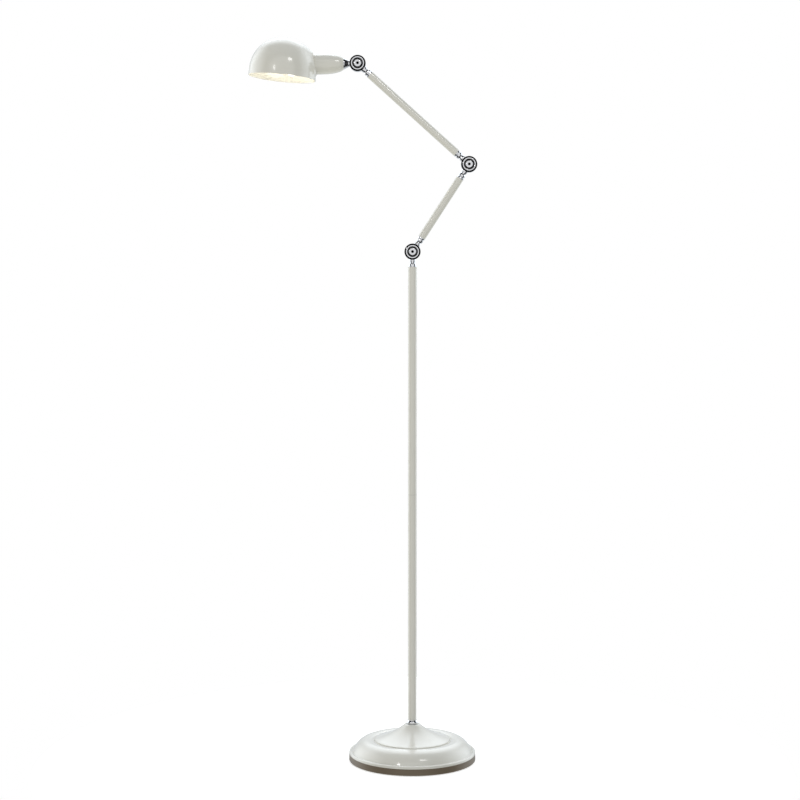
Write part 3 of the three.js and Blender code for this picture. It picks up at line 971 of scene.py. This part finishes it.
def shade():
    """The domed shade with its neck, and the spigot that it is held by."""
    crown, rows = shade_surface()
    bm = bmesh.new()
    top = bm.verts.new(DOME @ (Vector((0, 0, crown)) * MM))
    bottom = bm.verts.new(DOME @ (Vector((0, 0, crown - PRESSED_WALL)) * MM))
    rings = [[bm.verts.new(DOME @ (Vector(p) * MM)) for p in row] for row in rows]
    for low, high in zip(rings, rings[1:]):
        for side in range(WIDE):
            after = (side + 1) % WIDE
            bm.faces.new((low[side], low[after], high[after], high[side]))
    for tip, ring in ((top, rings[0]), (bottom, rings[-1])):
        for side in range(WIDE):
            bm.faces.new((tip, ring[side], ring[(side + 1) % WIDE]))
    skin = cut_flat(made_object(bm), seam_point(0), -SEAM_NORMAL)
    spigot = [
        (18.5, 80, 0.2),
        (19.7, 80, 0.3),
        (19.7, 97.2, 0.5),
        (17.5, 97.2, 0.3),
        (17.5, 96, 0.3),
        (18.5, 96),
    ]
    piece("shade", merged(skin, turned(eased(spigot), HEAD)))


def lampholder():
    """The lampholder: a terminal cap, a body with a waist, a flange and a ribbed skirt."""
    ribs = []
    for height in (98.5, 101.0, 103.5):
        ribs += [(17, height - 0.7, 0.2), (16.5, height, 0.3), (17, height + 0.7, 0.2)]
    outline = [
        (4, 50, 0.3),
        (12, 50, 0.8),
        (14.5, 54, 1.2),
        (14.5, 66, 0.6),
        (17, 68, 0.6),
        (17, 91),
        (18.2, 91, 0.3),
        (18.2, 95.7, 0.3),
        (17, 95.7),
        *ribs,
        (17, 106, 0.6),
        (14.7, 106, 0.5),
        (14.7, 73),
        (4, 73),
    ]
    piece("lampholder", turned(eased(outline), HEAD))


def shade_ring():
    """The ring that clamps the shade to the lampholder, with grip notches round its edge."""
    low, high = 97.5, 102.0
    notches = 12
    ring = turned(tube(17.4, 22.4, low, high, 0.5), HEAD)
    for turn in range(notches):
        spin = Matrix.Rotation(math.radians(360 / notches * turn), 4, "Z")
        beside = Matrix.Translation(Vector((23.4, 0, 0)) * MM)
        notch = [(0, low - 1), (1.9, low - 1), (1.9, high + 1), (0, high + 1)]
        boolean(ring, turned(notch, HEAD @ spin @ beside, 24), "DIFFERENCE")
    piece("shade_ring", ring)


def thread(radius, depth, pitch, low, high):
    """A rounded screw thread's side, as closely spaced rings."""
    rings_a_turn = 12
    steps = round((high - low) / pitch * rings_a_turn)
    heights = [low + (high - low) * step / steps for step in range(steps + 1)]
    return [
        (radius - depth * (0.5 - 0.5 * math.cos(2 * math.pi * (h - low) / pitch)), h)
        for h in heights
    ]


def lampholder_shell():
    """The brass thread inside the lampholder."""
    inside = thread(14.05, 0.5, SCREW_PITCH, 77, 102.2)
    outline = [(14.3, 77, 0.2), (14.3, 103, 0.2), *inside[::-1]]
    piece("lampholder_shell", turned(eased(outline), HEAD))


def bulb():
    """The bulb's screw cap, and a glass globe on a short neck."""
    cap = [
        (0, 76),
        (4, 76, 0.5),
        (5, 78, 0.4),
        (11.5, 80, 0.6),
        *thread(13.1, 0.7, SCREW_PITCH, 82, 103.6),
        (13.1, 104.4),
        (13.1, 106, 0.2),
        (0, 106),
    ]
    piece("bulb_cap", turned(eased(cap), HEAD, SMALL))
    radius, centre = 22.5, 137
    neck = math.degrees(math.asin(-17.5 / radius))
    path = [
        *bend((12.9, 106.4), (12.9, 113), arc((0, centre), radius, neck, 0, 1)[0], 8),
        *arc((0, centre), radius, neck, 90, 32)[1:],
    ]
    path[-1] = (0, centre + radius)
    piece("bulb_glass", turned(sheet(path, 0.8), HEAD))


def head():
    """The head knuckle's back half, its connector, the shade and the parts inside."""
    piece("head_yoke", knuckle_half(HEAD @ HALF_TURN, HEAD_STEM_END))
    connector = [
        (5.6, 23),
        (6.6, 19.4, 0.2),
        (7.4, 19.4, 0.4),
        (9, 22.6, 1.0),
        (11.6, 27.8, 0.6),
        (11.6, 29, 0.2),
        (5.6, 29),
    ]
    piece("head_connector", turned(eased(connector), HEAD))
    barrel()
    shade()
    lampholder()
    shade_ring()
    lampholder_shell()
    bulb()


# ------------------------------------------------------------------ the lamp

floor_pad()
weight_plate()
base_cover()
cord_gland()
pole_collar()
poles()
swivel_bush()
swivel()
arm("lower_arm", LOWER_ARM, LOWER_ARM_BACK, "lower_knuckle_back", "elbow_front", "elbow")
arm("upper_arm", UPPER_ARM, UPPER_ARM_BACK, "elbow_back", "head_knuckle_front", "head_knuckle")
head()

REPLACED = {name for obj in bpy.data.objects for name in obj.get("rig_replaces", [])}
for node in sorted(set(frame["nodes"]) - REPLACED):
    finish_cad_node(node)

# ------------------------------------------------------------------ studio

CAMERA_AT = (-0.0263, -3.632, 0.987)
CAMERA_TILT = 3.4  # degrees below level
CAMERA_LENS = 77.36
FAR_CLIP = 50
FLOOR_R = 0.8


def camera():
    """A camera in front of the lamp, a little below its lowest knuckle and tilted down."""
    data = bpy.data.cameras.new("camera")
    data.lens = CAMERA_LENS
    data.clip_end = FAR_CLIP
    eye = bpy.data.objects.new("camera", data)
    eye.location = CAMERA_AT
    eye.rotation_euler = (math.radians(90 - CAMERA_TILT), 0, 0)
    bpy.context.scene.collection.objects.link(eye)
    bpy.context.scene.camera = eye


def floor():
    """A pale floor that glows enough to meet the white background, but doesn't light the lamp."""
    bm = bmesh.new()
    bmesh.ops.create_circle(bm, cap_ends=True, segments=128, radius=FLOOR_R)
    ground = made_object(bm, "floor")
    ground.visible_diffuse = False
    ground.visible_glossy = False
    matt = Shader(
        "pale_floor", {"Roughness": 0.9, "Specular IOR Level": 0.1, "Emission Strength": 0.5}
    )
    matt.feed("Base Color", matt.blend(matt.noise(3, 2), (0.93, 0.93, 0.925), (0.95, 0.95, 0.945)))
    matt.principled.inputs["Emission Color"].default_value = (1, 1, 1, 1)
    matt.material.cycles.emission_sampling = "NONE"
    ground.data.materials.append(matt.material)


def softbox(name, at, target, size, power):
    """A rectangular light that the camera doesn't see."""
    light = bpy.data.lights.new(name, "AREA")
    light.shape = "RECTANGLE"
    light.size, light.size_y = size
    light.energy = power
    lamp = bpy.data.objects.new(name, light)
    lamp.location = at
    lamp.rotation_euler = (Vector(target) - Vector(at)).to_track_quat("-Z", "Y").to_euler()
    lamp.visible_camera = False
    bpy.context.scene.collection.objects.link(lamp)


# Each light of the surroundings: the direction it is in, where it starts and where it is full, as
# cosines of the angle from that direction, and its colour. SOFT_LIGHT lights the lamp, and
# REFLECTED is what its gloss and chrome mirror, of which the first is the dim room all round.
SOFT_LIGHT = [
    ((0, 1, 0.3), -0.1, 1.0, (0.58, 0.57, 0.56)),
    ((0, 0.5, 0.87), 0.3, 1.0, (0.62, 0.66, 0.72)),
    ((-0.9, -0.45, 0), -0.1, 1.0, (0.72, 0.705, 0.66)),
    ((0.97, 0.1, 0), -0.1, 1.0, (0.64, 0.645, 0.62)),
    ((0, 0, 1), -0.1, 1.0, (0.08, 0.09, 0.10)),
    ((0, 0, -1), -0.1, 1.0, (0.52, 0.53, 0.49)),
]
REFLECTED = [
    ((0, 0, 1), -1.01, -1.0, (0.03, 0.03, 0.032)),
    ((0, -1, 0), 0.60, 0.80, (0.84, 0.84, 0.85)),
    ((0, 1, 0), 0.05, 0.45, (0.64, 0.68, 0.71)),
    ((0, 0.65, 0.76), 0.80, 1.0, (1.5, 1.6, 1.7)),
    ((-0.93, 0.3, 0.2), 0.66, 1.0, (1.5, 1.58, 1.65)),
    ((0.93, 0.3, 0.2), 0.70, 1.0, (1.35, 1.45, 1.55)),
]


def surroundings():
    """What lights the lamp, what it mirrors, and the plain white that the camera sees behind it."""
    world = bpy.data.worlds.new("studio")
    world.use_nodes = True
    bpy.context.scene.world = world
    nodes, links = world.node_tree.nodes, world.node_tree.links
    direction = nodes.new("ShaderNodeTexCoord").outputs["Generated"]

    def lit_by(lights):
        """A background shader with the sum of the lights."""
        total = None
        for toward, start, stop, tone in lights:
            angle = nodes.new("ShaderNodeVectorMath")
            angle.operation = "DOT_PRODUCT"
            links.new(direction, angle.inputs[0])
            angle.inputs[1].default_value = Vector(toward).normalized()
            ramp = nodes.new("ShaderNodeMapRange")
            ramp.interpolation_type = "SMOOTHSTEP"
            ramp.inputs["From Min"].default_value = start
            ramp.inputs["From Max"].default_value = stop
            links.new(angle.outputs["Value"], ramp.inputs["Value"])
            added = nodes.new("ShaderNodeVectorMath")
            added.operation = "MULTIPLY_ADD"
            links.new(ramp.outputs["Result"], added.inputs[0])
            added.inputs[1].default_value = tone
            if total:
                links.new(total, added.inputs[2])
            total = added.outputs["Vector"]
        background = nodes.new("ShaderNodeBackground")
        links.new(total, background.inputs["Color"])
        return background.outputs["Background"]

    plain = nodes["Background"]
    plain.inputs["Color"].default_value = (1, 1, 1, 1)
    ray = nodes.new("ShaderNodeLightPath").outputs
    shown = lit_by(SOFT_LIGHT)
    for kind, other in (
        ("Is Glossy Ray", lit_by(REFLECTED)),
        ("Is Camera Ray", plain.outputs["Background"]),
    ):
        choice = nodes.new("ShaderNodeMixShader")
        links.new(ray[kind], choice.inputs["Fac"])
        links.new(shown, choice.inputs[1])
        links.new(other, choice.inputs[2])
        shown = choice.outputs["Shader"]
    links.new(shown, nodes["World Output"].inputs["Surface"])


camera()
floor()
surroundings()
softbox("key", at=(1.15, -2.2, 3.2), target=(-0.1, 0, 1.0), size=(0.62, 0.54), power=9)
softbox("window", at=(-1.45, -2.7, 2.05), target=(-0.1, 0, 0.8), size=(0.30, 0.30), power=4)
bpy.context.scene.view_settings.view_transform = "Standard"
